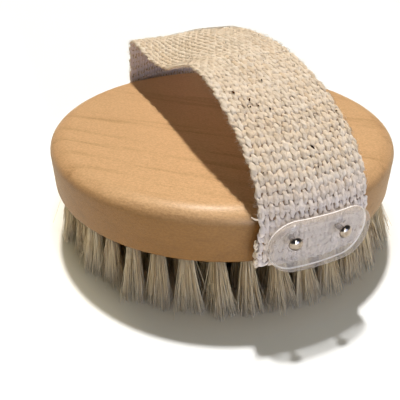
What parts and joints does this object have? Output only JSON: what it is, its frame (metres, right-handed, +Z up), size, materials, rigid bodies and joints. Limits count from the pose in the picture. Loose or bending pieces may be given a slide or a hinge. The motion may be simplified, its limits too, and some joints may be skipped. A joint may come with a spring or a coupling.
{
  "type": "body dry brush",
  "caption": "Round wooden body dry brush with rows of flared bristle tufts underneath and an arched cotton webbing hand strap nailed to its side under clear plates.",
  "frame": {"origin": "the middle of the brush, on the plane that its bristle tips stand on", "axes": "+Z up through the middle of the wooden base; the strap runs from the front (-Y) to the rear (+Y) and its width lies along X"},
  "size_m": [0.131, 0.1468, 0.07],
  "materials": {
    "wood": "satin",
    "bristle": "natural hair",
    "cotton_webbing": "coarse plain weave, unbleached",
    "clear_plastic": "clear, polished",
    "nickel": "polished nickel plate"
  },
  "bodies": {
    "root": {"wooden_base": "wood", "outer_bristle_ring": "bristle", "second_bristle_ring": "bristle", "middle_bristle_ring": "bristle", "inner_bristle_disc": "bristle", "strap": "cotton_webbing", "front_clamp_plate": "clear_plastic", "rear_clamp_plate": "clear_plastic", "front_left_nail": "nickel", "front_right_nail": "nickel", "rear_left_nail": "nickel", "rear_right_nail": "nickel"}
  },
  "joints": []
}
